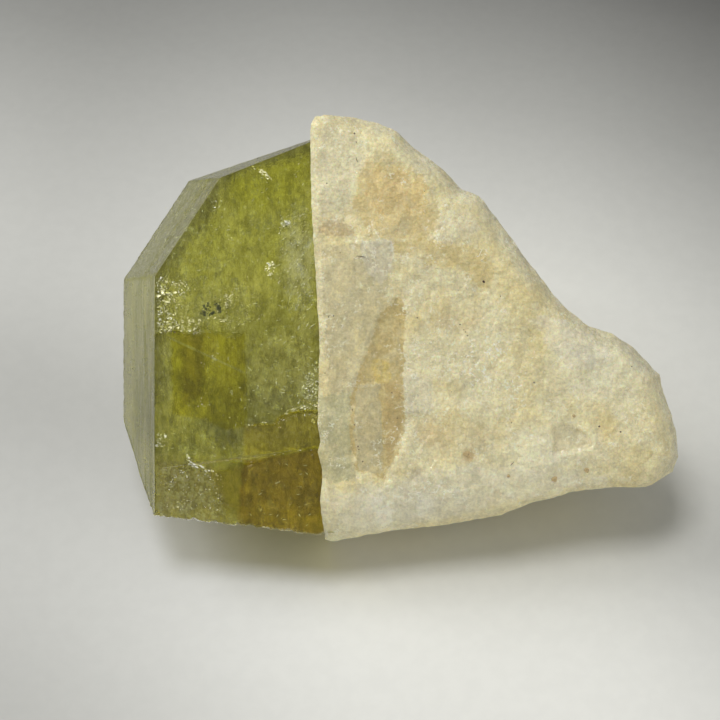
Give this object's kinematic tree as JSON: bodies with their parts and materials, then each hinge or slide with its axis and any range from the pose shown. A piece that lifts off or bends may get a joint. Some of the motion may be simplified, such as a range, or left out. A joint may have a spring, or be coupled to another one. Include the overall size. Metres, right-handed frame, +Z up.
{
  "type": "brazilianite specimen",
  "caption": "Loose mineral specimen for display: a blocky yellow-green see-through crystal set in the end of a tapering wedge of cream-white grainy rock.",
  "frame": {"origin": "on the surface that the specimen rests on, under the middle of its box", "axes": "+X along the specimen's length from the crystal to the rock's tip, +Z up, and the broad front faces -Y and leans back"},
  "size_m": [0.0612, 0.0452, 0.0371],
  "materials": {
    "brazilianite": "see-through yellow-green crystal, glossy faces with fine ridges, veils and sparkles inside",
    "feldspar": "rough broken cream-white grain with tan stains and a sugary sparkle"
  },
  "bodies": {
    "root": {"crystal": "brazilianite", "matrix": "feldspar"}
  },
  "joints": []
}
